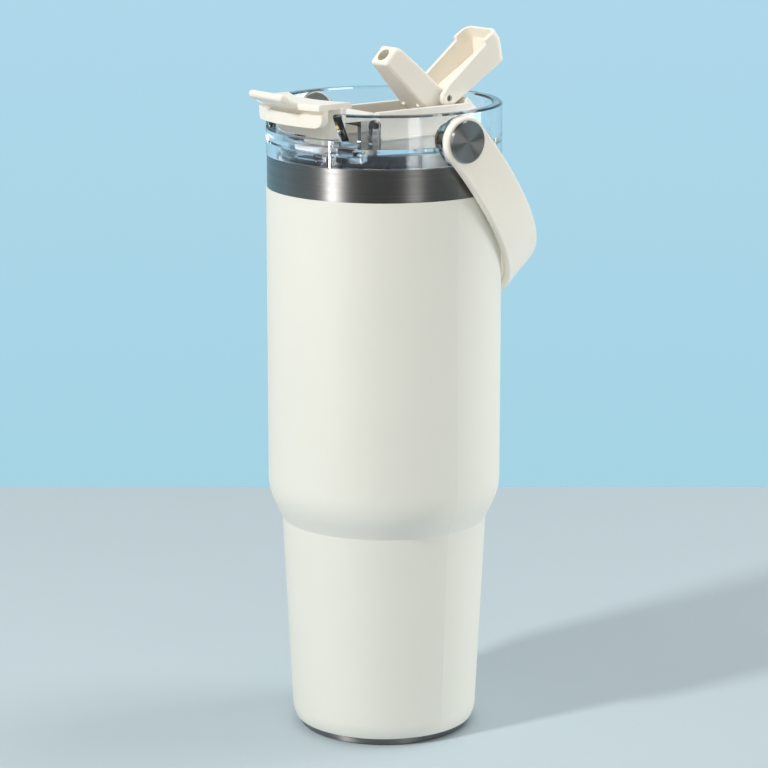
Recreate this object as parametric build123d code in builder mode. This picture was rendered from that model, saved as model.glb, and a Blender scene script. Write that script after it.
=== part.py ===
import os
from math import cos, radians, sin, tan

from build123d import *

os.makedirs("parts", exist_ok=True)

# Insulated water bottle. Millimetres, +Z up, origin at the centre of the base's resting plane.
# -Y is the sip opening's side, the handle pivots on the X axis, and the drinking spout folds down towards -Y.

# ---- bottle body: outline of the coat, then the walls inside it ----
body_radius = 46.0
foot_radius = 33.9
heel_radius = 36.7
heel_height = 5.5
crease_radius = 40.6
crease_height = 86.2
shoulder_slope = 0.5  # radius gained per height on the shoulder's underside
mouth_height = 231.5
coat_bottom = 3.2
coat_top = 219.0
coat_thickness = 0.3
steel_thickness = 0.6
liner_inset = 4.4
liner_thickness = 0.5
liner_floor = 8.0
liner_corner = 8.0
foot_round = 1.2
heel_round = 14.0
crease_round = 1.2
shoulder_round = 24.0
foot_inner_radius = 32.0
bottom_height = 3.2
base_disc_thickness = 0.8
seal_bead_radius = 2.5
getter_radius = 5.0
getter_offset = 14.0
getter_height = 1.4

# ---- thread lugs ----
lug_count = 3
lug_arc = 50.0
lug_height = 2.0
liner_lug_bottom = 226.0
liner_lug_depth = 0.9
plug_lug_bottom = 222.5
plug_lug_depth = 1.0
lug_offset_angle = 60.0
bury = 0.2  # how far a joined feature reaches into its parent

# ---- lid ----
ring_bottom = 231.8
ring_top = 252.0
ring_inner_radius = 42.0
ring_edge_cut = 0.7
deck_top = 239.0
deck_thickness = 2.5
deck_bottom = deck_top - deck_thickness
plug_radius = 40.3
plug_wall = 2.0
plug_bottom = 213.0
groove_bottom = 228.5
groove_height = 2.5
groove_depth = 0.9
seal_gap = 0.1
seal_proud = 0.4
seal_lip_radius = 0.45
cut_floor = 242.0
cut_half_top = 20.9
cut_half_floor = 23.8
cut_start = 30.0  # the cut runs outward from here
basin_rear = -22.5
basin_radius = 39.5
basin_half_angle = 40.0
basin_depth = 3.5
basin_wall = 2.0
sip_hole_y = -31.0
sip_hole_length = 14.0
sip_hole_width = 6.0
sip_hinge_y = -19.2
sip_hinge_z = 246.0
sip_ear_radius = 2.0
sip_ear_spans = ((10.9, 13.2), (17.8, 20.2))
sip_pin_radius = 1.2
running_gap = 0.06

# ---- handle pivots ----
pivot_z = 241.5
boss_radius = 9.5
boss_face = 47.2
boss_pad_radius = 6.5
boss_pad_inner = 38.5
insert_radius = 2.6
insert_inner = 39.5
screw_radius = 1.5
screw_shoulder_radius = 4.0
screw_head_radius = 5.6
screw_head_bottom = 48.9
screw_head_top = 50.0
socket_radius = 1.8
washer_radius = 9.0
washer_thickness = 0.3

# ---- handle ----
handle_half_span = 50.8
handle_thickness = 3.2
handle_width = 19.0
handle_reach = 86.0
handle_straight = 8.0
handle_hang = 49.5
handle_edge = 0.9
cap_radius = 8.1
cap_seat = 50.3
cap_face = 51.7
cap_chamfer = 0.3

# ---- straw, its socket and gasket ----
straw_y = 26.0
straw_radius = 3.6
straw_bore = 2.8
straw_bottom = 12.0
straw_top = 236.0
straw_tip_cut = 45.0
socket_hole_radius = 4.5
socket_outer_radius = 5.2
socket_bottom = 222.0
socket_flange_radius = 7.0
socket_flange_bottom = 235.3
gasket_bottom = 237.8
gasket_top = 239.1

# ---- nozzle ----
nozzle_pivot_y = 26.0
nozzle_pivot_z = 244.7
nozzle_raise = 43.5
nozzle_length = 36.3
nozzle_half_width = 7.5
nozzle_tip_half_width = 5.0
nozzle_heel_radius = 5.4
nozzle_top = 5.8
nozzle_under = 5.3
nozzle_flat = 12.0  # how far the underside runs parallel to the bore
nozzle_crown = 14.0  # how far behind the tip the top starts to fall
nozzle_crown_drop = 0.3  # how far it has fallen halfway to the tip
nozzle_tip_half_depth = 4.2
nozzle_bore = 2.7
nozzle_edge = 1.4
trunnion_radius = 2.0
trunnion_end = 12.6
nub_radius = 0.9
nub_along = 12.0
nub_side = 4.5
nub_height = 0.8
nub_pocket_radius = 1.6
nub_pocket_depth = 1.0

# ---- hood ----
hood_pin_along = 5.75
hood_pin_up = 4.32
hood_pin_radius = 1.2
hood_pin_half_length = 8.9
hood_open_angle = 31.6
hood_half_width = 9.9
hood_inner_half_width = 7.9
hood_back = 3.4
hood_skin = 1.5
hood_ear_radius = 3.5
hood_web_start = 3.2
hood_wall_rise_start = 4.6
hood_wall_rise_end = 7.2
hood_cup_start = 25.8
hood_cup_depth = 8.9
hood_length = 34.8
hood_back_length = 32.0
hood_end_wall = 1.9
hood_corner = 4.0
hood_edge = 0.5
hood_lip_step = 0.6

# ---- cradle ----
cradle_inner = 10.6
cradle_outer = 12.8
cradle_front = -12.6
cradle_rear = 33.0
cradle_top = 249.5
cradle_ledge = 246.5
cradle_ledge_depth = 0.6
cradle_plate = 0.6
cradle_plate_half = 15.0
cradle_window_half = 8.2
cradle_window_rear = 31.0
post_wall = 1.2
post_reach = 4.8
post_top = 251.7
post_shoulder = 247.0

# ---- vent valve ----
vent_x = -20.0
vent_y = 12.0
vent_stem_radius = 1.5
vent_cap_radius = 3.0
vent_foot_radius = 2.5
vent_cap_height = 1.0

# ---- sip cover ----
cover_half_width = 20.0
cover_wall_half = 20.4
flange_bottom = 253.6
flange_top = 255.8
flange_inner_radius = 37.0
pad_edge = 0.6
skirt_corner = 3.0
flange_outer_radius = 50.6
flange_round = 0.9
skirt_inner_radius = 46.6
skirt_outer_radius = 49.5
skirt_bottom = 246.9
skirt_top = 251.7
groove_radius = 48.3
inner_wall_inner_radius = 39.6
inner_wall_outer_radius = 41.6
inner_wall_bottom = 242.4
plate_bottom = 248.3
plate_top = 250.5
plate_rear = -16.6
plate_half_width = 19.7
plate_cut_back = 2.0
plate_cut_down = 1.6
plate_corner = 5.0
tab_half_width = 10.5
tab_tip = -57.2
tab_top = 259.5
tab_root = 254.1
tab_under = 256.8
tab_nose = 0.8
tab_crest = 1.0
tab_waist = 3.6
tab_round = 0.9
knuckle_span = (13.5, 17.5)
knuckle_radius = 2.3
stem_bottom = 238.3
stem_half = 6.5
stem_half_depth = 2.8
sip_pad_bottom = 235.8
sip_pad_half = 9.0
sip_pad_half_depth = 5.0

far = 120.0  # longer than any part, for cuts that go right through


def corner_between(first, second, inset):
    """Where two wall lines, each (radius, height, slope), cross once both are moved inward by inset."""
    first_radius, first_height, first_slope = first
    second_radius, second_height, second_slope = second
    first_shift = inset * (1 + first_slope**2) ** 0.5
    second_shift = inset * (1 + second_slope**2) ** 0.5
    first_start = first_radius - first_shift - first_height * first_slope
    second_start = second_radius - second_shift - second_height * second_slope
    height = (first_start - second_start) / (second_slope - first_slope)
    return first_start + first_slope * height, height


def outline_region(inset, floor, corner_radius, top):
    """The area between the axis and the bottle's outline moved inward by inset, as a sketch."""
    lower_slope = (crease_radius - heel_radius) / (crease_height - heel_height)
    heel_slope = (heel_radius - foot_radius) / heel_height
    heel_line = (foot_radius, 0, heel_slope)
    lower_line = (crease_radius, crease_height, lower_slope)
    shoulder_line = (crease_radius, crease_height, shoulder_slope)
    upper_line = (body_radius, crease_height, 0)
    heel = corner_between(heel_line, lower_line, inset)
    crease = corner_between(lower_line, shoulder_line, inset)
    shoulder = corner_between(shoulder_line, upper_line, inset)
    if floor < heel_height:
        heel_start = heel[0] - heel_slope * (heel[1] - floor)
        corners = [(heel_start, floor), heel, crease, shoulder]
        rounds = [corner_radius, heel_round - inset, crease_round + inset, shoulder_round - inset]
    else:
        corners = [(crease[0] - lower_slope * (crease[1] - floor), floor), crease, shoulder]
        rounds = [corner_radius, crease_round + inset, shoulder_round - inset]
    points = [(0, floor)] + corners + [(body_radius - inset, top)]
    with BuildSketch() as region:
        with BuildLine():
            wall = FilletPolyline(*points, radius=rounds)
            Polyline(wall @ 1, (0, top), (0, floor))
        make_face()
    return region.sketch


def rectangle_between(left, bottom, right, top):
    """An upright rectangle given by its two corners."""
    with BuildSketch() as region:
        with Locations(((left + right) / 2, (bottom + top) / 2)):
            Rectangle(right - left, top - bottom)
    return region.sketch


def ring_sector(inner_radius, outer_radius, half_width):
    """The front stretch of a flat ring, on the -Y side and no wider than half_width each way."""
    with BuildSketch() as region:
        Circle(outer_radius)
        Circle(inner_radius, mode=Mode.SUBTRACT)
        with Locations((0, -outer_radius / 2)):
            Rectangle(2 * half_width, outer_radius, mode=Mode.INTERSECT)
    return region.sketch


def side_plane(x):
    """A plane at the given X whose sketch coordinates are (Y, Z)."""
    return Plane(origin=(x, 0, 0), x_dir=(0, 1, 0), z_dir=(1, 0, 0))


# =====================================================================================================
# Bottle body
# =====================================================================================================

coat_outline = outline_region(0, 0, foot_round, mouth_height)
shell_outline = outline_region(coat_thickness, 0, foot_round, mouth_height)
shell_hollow = outline_region(coat_thickness + steel_thickness, steel_thickness, foot_round, mouth_height)
liner_outline = outline_region(
    liner_inset - liner_thickness, liner_floor - liner_thickness, liner_corner, mouth_height
)
liner_hollow = outline_region(liner_inset, liner_floor, liner_corner, mouth_height)
shell_inner_radius = body_radius - coat_thickness - steel_thickness
neck_radius = body_radius - liner_inset
coat_band = rectangle_between(0, coat_bottom, body_radius + 1, coat_top)

with BuildPart() as powder_coat:
    with BuildSketch(Plane.XZ):
        add(coat_outline)
        add(shell_outline, mode=Mode.SUBTRACT)
        add(coat_band, mode=Mode.INTERSECT)
    revolve(axis=Axis.Z)
powder_coat.part.label = "powder_coat"
export_step(powder_coat.part, "parts/powder_coat.step")

with BuildPart() as outer_shell:
    with BuildSketch(Plane.XZ):
        add(shell_outline)
        add(shell_hollow, mode=Mode.SUBTRACT)
        add(rectangle_between(0, 0, foot_inner_radius, steel_thickness), mode=Mode.SUBTRACT)
    revolve(axis=Axis.Z)
outer_shell.part.label = "outer_shell"
export_step(outer_shell.part, "parts/outer_shell.step")

with BuildPart() as inner_liner:
    with BuildSketch(Plane.XZ):
        add(liner_outline)
        add(rectangle_between(0, mouth_height - steel_thickness, shell_inner_radius, mouth_height))
        add(liner_hollow, mode=Mode.SUBTRACT)
    revolve(axis=Axis.Z)
    for index in range(lug_count):
        with BuildSketch(Plane.XZ.rotated((0, 0, index * 360 / lug_count - lug_arc / 2))):
            add(
                rectangle_between(
                    neck_radius - liner_lug_depth,
                    liner_lug_bottom,
                    neck_radius + bury,
                    liner_lug_bottom + lug_height,
                )
            )
        revolve(axis=Axis.Z, revolution_arc=lug_arc)
inner_liner.part.label = "inner_liner"
export_step(inner_liner.part, "parts/inner_liner.step")

with BuildPart() as outer_bottom:
    with BuildSketch():
        Circle(foot_inner_radius)
    extrude(amount=bottom_height)
    with BuildSketch():
        Circle(foot_inner_radius - steel_thickness)
    extrude(amount=bottom_height - steel_thickness, mode=Mode.SUBTRACT)
outer_bottom.part.label = "outer_bottom"
export_step(outer_bottom.part, "parts/outer_bottom.step")

with BuildPart() as base_disc:
    with BuildSketch():
        Circle(foot_inner_radius - steel_thickness)
    extrude(amount=base_disc_thickness)
base_disc.part.label = "base_disc"
export_step(base_disc.part, "parts/base_disc.step")

with BuildPart() as vacuum_seal_bead:
    with BuildSketch(Plane.XY.offset(base_disc_thickness + steel_thickness)):
        Circle(seal_bead_radius)
    extrude(amount=bottom_height - base_disc_thickness - 2 * steel_thickness)
vacuum_seal_bead.part.label = "vacuum_seal_bead"
export_step(vacuum_seal_bead.part, "parts/vacuum_seal_bead.step")

with BuildPart() as getter_capsule:
    with BuildSketch(Plane.XY.offset(bottom_height)):
        with Locations((getter_offset, 0)):
            Circle(getter_radius)
    extrude(amount=getter_height)
    fillet(getter_capsule.faces().sort_by(Axis.Z)[-1].edges(), getter_height / 2)
getter_capsule.part.label = "getter_capsule"
export_step(getter_capsule.part, "parts/getter_capsule.step")

# =====================================================================================================
# Lid shell: ring, deck, plug, bosses, basin and hinge ears in one clear moulding
# =====================================================================================================

ring_middle = (ring_inner_radius + body_radius) / 2
basin_floor = deck_top - basin_depth
basin_side = basin_radius * sin(radians(basin_half_angle))
basin_front = basin_radius * cos(radians(basin_half_angle))
basin_rear_side = -basin_rear * tan(radians(basin_half_angle))


def basin_outline(grow):
    """The drip basin's plan, grown outward by grow."""
    with BuildSketch() as region:
        Circle(basin_radius + grow)
        with BuildLine():
            Polyline(
                (-basin_rear_side - grow, basin_rear + grow),
                (basin_rear_side + grow, basin_rear + grow),
                (basin_side + 2 * grow, -basin_front),
                (basin_side, -far),
                (-basin_side, -far),
                (-basin_side - 2 * grow, -basin_front),
                close=True,
            )
        make_face(mode=Mode.INTERSECT)
    return region.sketch


with BuildPart() as lid_shell:
    with BuildSketch(Plane.XZ):
        add(rectangle_between(ring_inner_radius, ring_bottom, body_radius, ring_top))
    revolve(axis=Axis.Z)
    chamfer(lid_shell.edges().filter_by(GeomType.CIRCLE).group_by(Axis.Z)[-1], ring_edge_cut)
    with BuildSketch(Plane.XY.offset(deck_bottom)):
        Circle(ring_inner_radius + bury)
    extrude(amount=deck_thickness)
    with BuildSketch(Plane.XY.offset(plug_bottom)):
        Circle(plug_radius)
        Circle(plug_radius - plug_wall, mode=Mode.SUBTRACT)
    extrude(amount=deck_bottom - plug_bottom)
    with BuildSketch(Plane.XZ):
        add(
            rectangle_between(
                plug_radius - groove_depth, groove_bottom, plug_radius + 1, groove_bottom + groove_height
            )
        )
    revolve(axis=Axis.Z, mode=Mode.SUBTRACT)
    for index in range(lug_count):
        start_angle = index * 360 / lug_count + lug_offset_angle - lug_arc / 2
        with BuildSketch(Plane.XZ.rotated((0, 0, start_angle))):
            add(
                rectangle_between(
                    plug_radius - bury,
                    plug_lug_bottom,
                    plug_radius + plug_lug_depth,
                    plug_lug_bottom + lug_height,
                )
            )
        revolve(axis=Axis.Z, revolution_arc=lug_arc)
    # handle bosses: a round pad outside the ring and a smaller one inside it
    for side in (-1, 1):
        with BuildSketch(side_plane(side * ring_middle)):
            with Locations((0, pivot_z)):
                Circle(boss_radius)
        extrude(amount=side * (boss_face - ring_middle))
        with BuildSketch(side_plane(side * boss_pad_inner)):
            with Locations((0, pivot_z)):
                Circle(boss_pad_radius)
            pad_band = rectangle_between(-boss_pad_radius, deck_top - bury, boss_pad_radius, ring_top)
            add(pad_band, mode=Mode.INTERSECT)
        extrude(amount=side * (ring_middle - boss_pad_inner))
    # spout opening in the ring, wider at its floor
    with BuildSketch(Plane.XZ.offset(cut_start)):
        with BuildLine():
            Polyline(
                (-cut_half_floor, cut_floor),
                (cut_half_floor, cut_floor),
                (cut_half_top, ring_top),
                (cut_half_top, ring_top + 1),
                (-cut_half_top, ring_top + 1),
                (-cut_half_top, ring_top),
                close=True,
            )
        make_face()
    extrude(amount=body_radius - cut_start + 1, mode=Mode.SUBTRACT)
    # drip basin below the deck at the front
    with BuildSketch(Plane.XY.offset(basin_floor - deck_thickness)):
        add(basin_outline(0))
        Circle(plug_radius - plug_wall + bury, mode=Mode.INTERSECT)
    extrude(amount=basin_depth)
    with BuildSketch(Plane.XY.offset(basin_floor)):
        add(basin_outline(-basin_wall))
    extrude(amount=basin_depth + 1, mode=Mode.SUBTRACT)
    with BuildSketch(Plane.XY.offset(basin_floor + bury)):
        with Locations((0, sip_hole_y)):
            SlotOverall(sip_hole_length, sip_hole_width)
    extrude(amount=-far / 10, mode=Mode.SUBTRACT)
    # hinge ears of the sip cover
    for side in (-1, 1):
        for span in sip_ear_spans:
            with BuildSketch(side_plane(side * span[0])):
                with Locations((sip_hinge_y, sip_hinge_z)):
                    Circle(sip_ear_radius)
                with Locations((sip_hinge_y, (sip_hinge_z + deck_top - bury) / 2)):
                    Rectangle(2 * sip_ear_radius, sip_hinge_z - deck_top + bury)
                with Locations((sip_hinge_y, sip_hinge_z)):
                    Circle(sip_pin_radius, mode=Mode.SUBTRACT)
            extrude(amount=side * (span[1] - span[0]))
    # straw hole, vent hole and pockets for the nozzle's nubs
    with BuildSketch(Plane.XY.offset(deck_top)):
        with Locations((0, straw_y)):
            Circle(socket_hole_radius)
        with Locations((vent_x, vent_y)):
            Circle(vent_stem_radius)
    extrude(amount=-deck_thickness, mode=Mode.SUBTRACT)
    with BuildSketch(Plane.XY.offset(deck_top)):
        with Locations((-nub_side, nozzle_pivot_y - nub_along), (nub_side, nozzle_pivot_y - nub_along)):
            Circle(nub_pocket_radius)
    extrude(amount=-nub_pocket_depth, mode=Mode.SUBTRACT)
    # insert holes in the handle bosses
    for side in (-1, 1):
        with BuildSketch(side_plane(side * insert_inner)):
            with Locations((0, pivot_z)):
                Circle(insert_radius)
        extrude(amount=side * (boss_face - insert_inner + 1), mode=Mode.SUBTRACT)
lid_shell.part.label = "lid_shell"
export_step(lid_shell.part, "parts/lid_shell.step")

with BuildPart() as lid_seal_ring:
    with BuildSketch(Plane.XZ):
        seal_inner = plug_radius - groove_depth + running_gap
        seal_bottom = groove_bottom + seal_gap
        seal_top = groove_bottom + groove_height - seal_gap
        add(rectangle_between(seal_inner, seal_bottom, plug_radius + seal_proud, seal_top))
        for lip_height in (seal_bottom + seal_lip_radius, seal_top - seal_lip_radius):
            with Locations((plug_radius + seal_proud + seal_gap, lip_height)):
                Circle(seal_lip_radius)
    revolve(axis=Axis.Z)
lid_seal_ring.part.label = "lid_seal_ring"
export_step(lid_seal_ring.part, "parts/lid_seal_ring.step")

# =====================================================================================================
# Pieces fixed in the lid
# =====================================================================================================

with BuildPart() as straw_cradle:
    with BuildSketch(Plane.XY.offset(deck_top)):
        add(rectangle_between(-cradle_plate_half, cradle_front, cradle_plate_half, cradle_rear))
        add(
            rectangle_between(
                -cradle_window_half, cradle_front - 1, cradle_window_half, cradle_window_rear
            ),
            mode=Mode.SUBTRACT,
        )
    extrude(amount=cradle_plate)
    for side in (-1, 1):
        with BuildSketch(side_plane(side * cradle_inner)):
            add(rectangle_between(cradle_front, deck_top, cradle_rear, cradle_top))
        extrude(amount=side * (cradle_outer - cradle_inner))
        with BuildSketch(side_plane(side * (cradle_outer - bury))):
            add(rectangle_between(cradle_front, cradle_ledge, cradle_rear, cradle_top))
        extrude(amount=side * (cradle_ledge_depth + bury))
    with BuildSketch(side_plane(-cradle_inner - bury)):
        with BuildLine():
            Polyline(
                (cradle_rear - post_wall, deck_top),
                (cradle_rear - post_wall, cradle_top),
                (cradle_rear, post_top),
                (cradle_rear + post_reach, post_shoulder),
                (cradle_rear + post_reach, deck_top),
                close=True,
            )
        make_face()
    extrude(amount=2 * (cradle_inner + bury))
    with BuildSketch(side_plane(-cradle_outer - cradle_ledge_depth)):
        with Locations((nozzle_pivot_y, nozzle_pivot_z)):
            Circle(trunnion_radius + running_gap)
    extrude(amount=2 * (cradle_outer + cradle_ledge_depth), mode=Mode.SUBTRACT)
straw_cradle.part.label = "straw_cradle"
export_step(straw_cradle.part, "parts/straw_cradle.step")

with BuildPart() as vent_valve:
    with BuildSketch(Plane.XY.offset(deck_bottom - vent_cap_height)):
        with Locations((vent_x, vent_y)):
            Circle(vent_foot_radius)
    extrude(amount=vent_cap_height)
    with BuildSketch(Plane.XY.offset(deck_bottom)):
        with Locations((vent_x, vent_y)):
            Circle(vent_stem_radius)
    extrude(amount=deck_thickness)
    with BuildSketch(Plane.XY.offset(deck_top)):
        with Locations((vent_x, vent_y)):
            Circle(vent_cap_radius)
    extrude(amount=vent_cap_height)
    fillet(vent_valve.faces().sort_by(Axis.Z)[-1].edges(), vent_cap_height / 2)
vent_valve.part.label = "vent_valve"
export_step(vent_valve.part, "parts/vent_valve.step")

with BuildPart() as straw_gasket:
    with BuildSketch(Plane.XY.offset(gasket_bottom)):
        with Locations((0, straw_y)):
            Circle(socket_hole_radius)
            Circle(straw_bore, mode=Mode.SUBTRACT)
    extrude(amount=gasket_top - gasket_bottom)
straw_gasket.part.label = "straw_gasket"
export_step(straw_gasket.part, "parts/straw_gasket.step")

with BuildPart() as straw_socket:
    with BuildSketch(Plane.XY.offset(socket_bottom)):
        with Locations((0, straw_y)):
            Circle(socket_outer_radius)
            Circle(straw_radius, mode=Mode.SUBTRACT)
    extrude(amount=straw_top - socket_bottom)
    with BuildSketch(Plane.XY.offset(socket_flange_bottom)):
        with Locations((0, straw_y)):
            Circle(socket_flange_radius)
            Circle(straw_radius, mode=Mode.SUBTRACT)
    extrude(amount=straw_top - socket_flange_bottom)
    with BuildSketch(Plane.XY.offset(straw_top)):
        with Locations((0, straw_y)):
            Circle(socket_flange_radius)
            Circle(straw_bore, mode=Mode.SUBTRACT)
    extrude(amount=deck_bottom - straw_top)
    with BuildSketch(Plane.XY.offset(deck_bottom)):
        with Locations((0, straw_y)):
            Circle(socket_hole_radius)
            Circle(straw_bore, mode=Mode.SUBTRACT)
    extrude(amount=gasket_bottom - deck_bottom)
straw_socket.part.label = "straw_socket"
export_step(straw_socket.part, "parts/straw_socket.step")

with BuildPart() as straw:
    with BuildSketch(Plane.XY.offset(straw_bottom)):
        with Locations((0, straw_y)):
            Circle(straw_radius)
            Circle(straw_bore, mode=Mode.SUBTRACT)
    extrude(amount=straw_top - straw_bottom)
    # slanted tip, so that the straw can't seal itself against the floor
    with BuildSketch(side_plane(-straw_radius - 1)):
        with BuildLine():
            Polyline(
                (straw_y - straw_radius - 1, straw_bottom - 1),
                (straw_y + straw_radius + 1, straw_bottom - 1),
                (
                    straw_y + straw_radius + 1,
                    straw_bottom - 1 + 2 * (straw_radius + 1) * tan(radians(straw_tip_cut)),
                ),
                close=True,
            )
        make_face()
    extrude(amount=2 * (straw_radius + 1), mode=Mode.SUBTRACT)
straw.part.label = "straw"
export_step(straw.part, "parts/straw.step")

with BuildPart() as sip_hinge_pin:
    with BuildSketch(side_plane(-sip_ear_spans[1][1])):
        with Locations((sip_hinge_y, sip_hinge_z)):
            Circle(sip_pin_radius)
    extrude(amount=2 * sip_ear_spans[1][1])
sip_hinge_pin.part.label = "sip_hinge_pin"
export_step(sip_hinge_pin.part, "parts/sip_hinge_pin.step")

with BuildPart() as pivot_inserts:
    for side in (-1, 1):
        with BuildSketch(side_plane(side * insert_inner)):
            with Locations((0, pivot_z)):
                Circle(insert_radius)
                Circle(screw_radius, mode=Mode.SUBTRACT)
        extrude(amount=side * (boss_face - insert_inner))
pivot_inserts.part.label = "pivot_inserts"
export_step(pivot_inserts.part, "parts/pivot_inserts.step")

with BuildPart() as handle_washers:
    for side in (-1, 1):
        with BuildSketch(side_plane(side * boss_face)):
            with Locations((0, pivot_z)):
                Circle(washer_radius)
                Circle(screw_shoulder_radius, mode=Mode.SUBTRACT)
        extrude(amount=side * washer_thickness)
handle_washers.part.label = "handle_washers"
export_step(handle_washers.part, "parts/handle_washers.step")

with BuildPart() as handle_screws:
    for side in (-1, 1):
        with BuildSketch(side_plane(side * (insert_inner + 1))):
            with Locations((0, pivot_z)):
                Circle(screw_radius)
        extrude(amount=side * (boss_face - insert_inner - 1))
        with BuildSketch(side_plane(side * boss_face)):
            with Locations((0, pivot_z)):
                Circle(screw_shoulder_radius)
        extrude(amount=side * (screw_head_bottom - boss_face))
        with BuildSketch(side_plane(side * screw_head_bottom)):
            with Locations((0, pivot_z)):
                Circle(screw_head_radius)
        extrude(amount=side * (screw_head_top - screw_head_bottom))
        with BuildSketch(side_plane(side * screw_head_top)):
            with Locations((0, pivot_z)):
                RegularPolygon(socket_radius, 6)
        extrude(amount=-side * (screw_head_top - screw_head_bottom), mode=Mode.SUBTRACT)
handle_screws.part.label = "handle_screws"
export_step(handle_screws.part, "parts/handle_screws.step")

# =====================================================================================================
# Handle and its caps
# =====================================================================================================

hang_cos = cos(radians(handle_hang))
hang_sin = sin(radians(handle_hang))
loop_plane = Plane(origin=(0, 0, pivot_z), x_dir=(1, 0, 0), z_dir=(0, hang_sin, hang_cos))
arm_plane = Plane(origin=(0, 0, pivot_z), x_dir=(0, hang_cos, -hang_sin), z_dir=(1, 0, 0))


def loop_region(half_span, reach):
    """The area inside one face of the U-shaped loop: two straight arms, then a half ellipse."""
    with BuildSketch() as region:
        with BuildLine():
            EllipticalCenterArc((0, handle_straight), half_span, reach - handle_straight, 0, arc_size=180)
            Polyline(
                (-half_span, handle_straight),
                (-half_span, -handle_width),
                (half_span, -handle_width),
                (half_span, handle_straight),
            )
        make_face()
    return region.sketch


with BuildPart() as handle:
    with BuildSketch(loop_plane):
        add(loop_region(handle_half_span, handle_reach))
        add(
            loop_region(handle_half_span - handle_thickness, handle_reach - handle_thickness),
            mode=Mode.SUBTRACT,
        )
    extrude(amount=handle_width / 2, both=True)
    with BuildSketch(arm_plane):
        Circle(handle_width / 2)
        add(rectangle_between(0, -handle_width / 2, handle_reach + 1, handle_width / 2))
    extrude(amount=far, both=True, mode=Mode.INTERSECT)
    fillet(handle.edges(), handle_edge)
    for side in (-1, 1):
        with BuildSketch(side_plane(side * (handle_half_span - handle_thickness - 1))):
            with Locations((0, pivot_z)):
                Circle(screw_shoulder_radius + running_gap)
        extrude(amount=side * (handle_thickness + 2), mode=Mode.SUBTRACT)
        with BuildSketch(side_plane(side * (screw_head_bottom - 0.1))):
            with Locations((0, pivot_z)):
                Circle(screw_head_radius + 0.4)
        extrude(amount=side * handle_thickness, mode=Mode.SUBTRACT)
        with BuildSketch(side_plane(side * cap_seat)):
            with Locations((0, pivot_z)):
                Circle(cap_radius + running_gap / 2)
        extrude(amount=side * handle_thickness, mode=Mode.SUBTRACT)
handle.part.label = "handle"
export_step(handle.part, "parts/handle.step")

with BuildPart() as handle_caps:
    for side in (-1, 1):
        with BuildSketch(side_plane(side * cap_seat)):
            with Locations((0, pivot_z)):
                Circle(cap_radius)
        extrude(amount=side * (cap_face - cap_seat))
    cap_rims = handle_caps.edges().filter_by(GeomType.CIRCLE).sort_by(Axis.X)
    chamfer([cap_rims[0], cap_rims[-1]], cap_chamfer)
handle_caps.part.label = "handle_caps"
export_step(handle_caps.part, "parts/handle_caps.step")

# =====================================================================================================
# Nozzle: local X runs along the bore to the tip, local Y points to its upper side
# =====================================================================================================

raise_cos = cos(radians(nozzle_raise))
raise_sin = sin(radians(nozzle_raise))
nozzle_side = Plane(
    origin=(0, nozzle_pivot_y, nozzle_pivot_z), x_dir=(0, -raise_cos, raise_sin), z_dir=(-1, 0, 0)
)
nozzle_along = Vector(0, -raise_cos, raise_sin)
nozzle_up = Vector(0, raise_sin, raise_cos)
nozzle_pivot = Vector(0, nozzle_pivot_y, nozzle_pivot_z)
nozzle_plan = Plane(origin=nozzle_pivot, x_dir=nozzle_along, z_dir=nozzle_up)
nozzle_end = Plane(origin=nozzle_pivot + nozzle_along * nozzle_length, x_dir=(1, 0, 0), z_dir=nozzle_along)

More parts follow.
